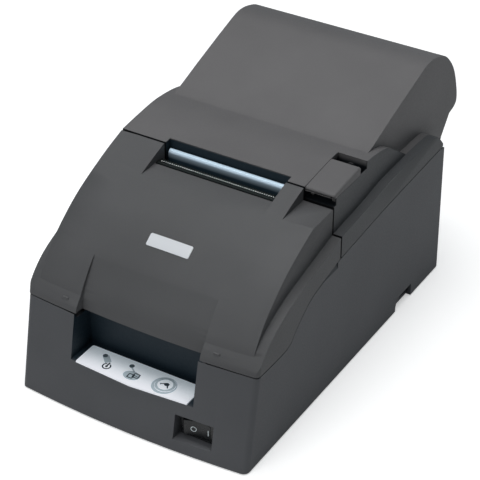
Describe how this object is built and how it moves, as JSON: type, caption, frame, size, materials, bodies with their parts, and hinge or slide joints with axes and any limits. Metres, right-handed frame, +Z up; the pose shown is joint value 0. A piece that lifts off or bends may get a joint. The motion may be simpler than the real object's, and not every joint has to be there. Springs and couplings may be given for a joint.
{
  "type": "dot matrix receipt printer",
  "caption": "Small desk dot matrix receipt printer in dark grey plastic, with a front cover over the print mechanism and a humped rear cover over the roll and the take-up spool.",
  "frame": {"origin": "on the floor under the middle of the outline", "axes": "x to the right seen from the front, y to the rear, z up"},
  "size_m": [0.16, 0.2879, 0.157],
  "materials": {
    "case_plastic": "moulded, fine matte texture",
    "cover_plastic": "moulded, fine matte texture",
    "steel": "ground steel",
    "rubber": "matte black rubber",
    "black_plastic": "moulded black",
    "label": "printed pale film",
    "board": "green solder mask",
    "lamp": "clear lens",
    "button_grey": "pale grey key",
    "zinc_sheet": "zinc-plated sheet",
    "bright_bar": "plated bar",
    "tear_steel": "stamped strip",
    "head_metal": "dark anodised fins",
    "pale_plastic": "natural acetal",
    "ribbon_cloth": "inked woven band",
    "brass": "turned brass",
    "bin_plastic": "moulded grey"
  },
  "bodies": {
    "root": {"lower_case": "case_plastic", "front_hinge_pins": "steel", "rear_hinge_pins": "steel", "latch_stud": "steel", "rubber_feet": "rubber", "option_plate": "black_plastic", "case_screws": "steel", "panel_label": "label", "panel_board": "board", "status_lamps": "lamp", "feed_switch": "black_plastic", "power_switch": "black_plastic", "main_board": "board", "interface_connector": "zinc_sheet", "power_inlet": "black_plastic", "drawer_connector": "black_plastic", "frame": "zinc_sheet", "frame_screws": "steel", "guide_shaft": "steel", "slide_rail": "zinc_sheet", "platen": "zinc_sheet", "paper_guide": "zinc_sheet", "guide_bar": "bright_bar", "head_cable": "pale_plastic", "carriage_motor": "zinc_sheet", "idler_stud": "steel", "carriage_belt": "rubber", "ribbon_cassette": "black_plastic", "ribbon": "ribbon_cloth", "feed_motor": "zinc_sheet", "train_stud": "steel", "roll_bin": "bin_plastic", "near_end_switch": "black_plastic", "spool_bracket_left": "zinc_sheet", "spool_bracket_right": "zinc_sheet", "takeup_belt": "rubber"},
    "front_cover": {"front_cover": "cover_plastic", "tear_bar": "tear_steel"},
    "rear_cover": {"rear_cover": "cover_plastic", "button_spring": "steel"},
    "cover_button": {"cover_button": "cover_plastic"},
    "feed_button": {"feed_button": "button_grey"},
    "power_rocker": {"power_rocker": "black_plastic"},
    "carriage": {"carriage": "black_plastic", "print_head": "head_metal"},
    "drive_pulley": {"drive_pulley": "pale_plastic"},
    "idler_pulley": {"idler_pulley": "pale_plastic"},
    "ribbon_knob": {"ribbon_knob": "pale_plastic"},
    "feed_shaft": {"feed_shaft": "steel", "feed_rollers": "rubber", "feed_gear": "pale_plastic"},
    "motor_pinion": {"motor_pinion": "brass"},
    "train_gear": {"train_gear": "pale_plastic"},
    "pressure_rollers": {"pressure_shaft": "steel", "pressure_rollers": "pale_plastic"},
    "near_end_lever": {"near_end_lever": "pale_plastic"},
    "takeup_spool": {"takeup_spool": "black_plastic", "takeup_pulley": "pale_plastic"}
  },
  "joints": [
    {"name": "front_cover_hinge", "type": "hinge", "parent": "root", "child": "front_cover", "pos_m": [0, -0.1262, 0.0648], "axis": [1, 0, 0], "range_deg": [0, 75]},
    {"name": "rear_cover_hinge", "type": "hinge", "parent": "root", "child": "rear_cover", "pos_m": [0, 0.1035, 0.0958], "axis": [-1, 0, 0], "range_deg": [0, 70]},
    {"name": "cover_button_slide", "type": "slide", "parent": "rear_cover", "child": "cover_button", "axis": [0, 1, 0], "range_m": [0, 0.006], "stiffness_N_per_m": 500, "springref_m": -0.001, "deforming": ["button_spring"]},
    {"name": "feed_button_press", "type": "slide", "parent": "root", "child": "feed_button", "axis": [0, 0, -1], "range_m": [0, 0.0008], "stiffness_N_per_m": 1000, "springref_m": -0.0004},
    {"name": "power_rocker_tilt", "type": "hinge", "parent": "root", "child": "power_rocker", "pos_m": [0.0437, -0.13, 0.0162], "axis": [0, 0, 1], "range_deg": [-14, 0]},
    {"name": "carriage_slide", "type": "slide", "parent": "root", "child": "carriage", "axis": [1, 0, 0], "range_m": [-0.028, 0.028], "deforming": ["head_cable"]},
    {"name": "drive_pulley_turn", "type": "hinge", "parent": "root", "child": "drive_pulley", "pos_m": [-0.049, -0.072, 0.0586], "axis": [0, 0, 1], "range_deg": [-270, 270]},
    {"name": "idler_pulley_turn", "type": "hinge", "parent": "root", "child": "idler_pulley", "pos_m": [0.049, -0.072, 0.0586], "axis": [0, 0, 1], "range_deg": [-270, 270]},
    {"name": "ribbon_knob_turn", "type": "hinge", "parent": "root", "child": "ribbon_knob", "pos_m": [-0.043, -0.0884, 0.08587], "axis": [0, -0.342, 0.9397], "continuous": true},
    {"name": "feed_shaft_turn", "type": "hinge", "parent": "root", "child": "feed_shaft", "pos_m": [0, -0.02379, 0.08172], "axis": [1, 0, 0], "continuous": true},
    {"name": "motor_pinion_turn", "type": "hinge", "parent": "root", "child": "motor_pinion", "pos_m": [-0.066, -0.00981, 0.05307], "axis": [1, 0, 0], "continuous": true},
    {"name": "train_gear_turn", "type": "hinge", "parent": "root", "child": "train_gear", "pos_m": [-0.066, -0.01419, 0.0651], "axis": [1, 0, 0], "continuous": true},
    {"name": "pressure_rollers_turn", "type": "hinge", "parent": "root", "child": "pressure_rollers", "pos_m": [0, -0.0329, 0.07841], "axis": [1, 0, 0], "continuous": true},
    {"name": "near_end_lever_swing", "type": "hinge", "parent": "root", "child": "near_end_lever", "pos_m": [0.045, 0.0466, 0.0372], "axis": [0, 0, 1], "range_deg": [0, 9], "stiffness_Nm_per_rad": 0.002, "springref_deg": -5.16},
    {"name": "takeup_spool_turn", "type": "hinge", "parent": "root", "child": "takeup_spool", "pos_m": [0, 0.095, 0.112], "axis": [1, 0, 0], "continuous": true}
  ],
  "couplings": [
    {"joint": "drive_pulley_turn", "follows": "carriage_slide", "rad_per_m": -155.04},
    {"joint": "idler_pulley_turn", "follows": "carriage_slide", "rad_per_m": -155.04},
    {"joint": "train_gear_turn", "follows": "feed_shaft_turn", "ratio": -1.4},
    {"joint": "motor_pinion_turn", "follows": "feed_shaft_turn", "ratio": 2.3333},
    {"joint": "pressure_rollers_turn", "follows": "feed_shaft_turn", "ratio": -1.8182},
    {"joint": "takeup_spool_turn", "follows": "feed_shaft_turn", "ratio": -1.4}
  ]
}
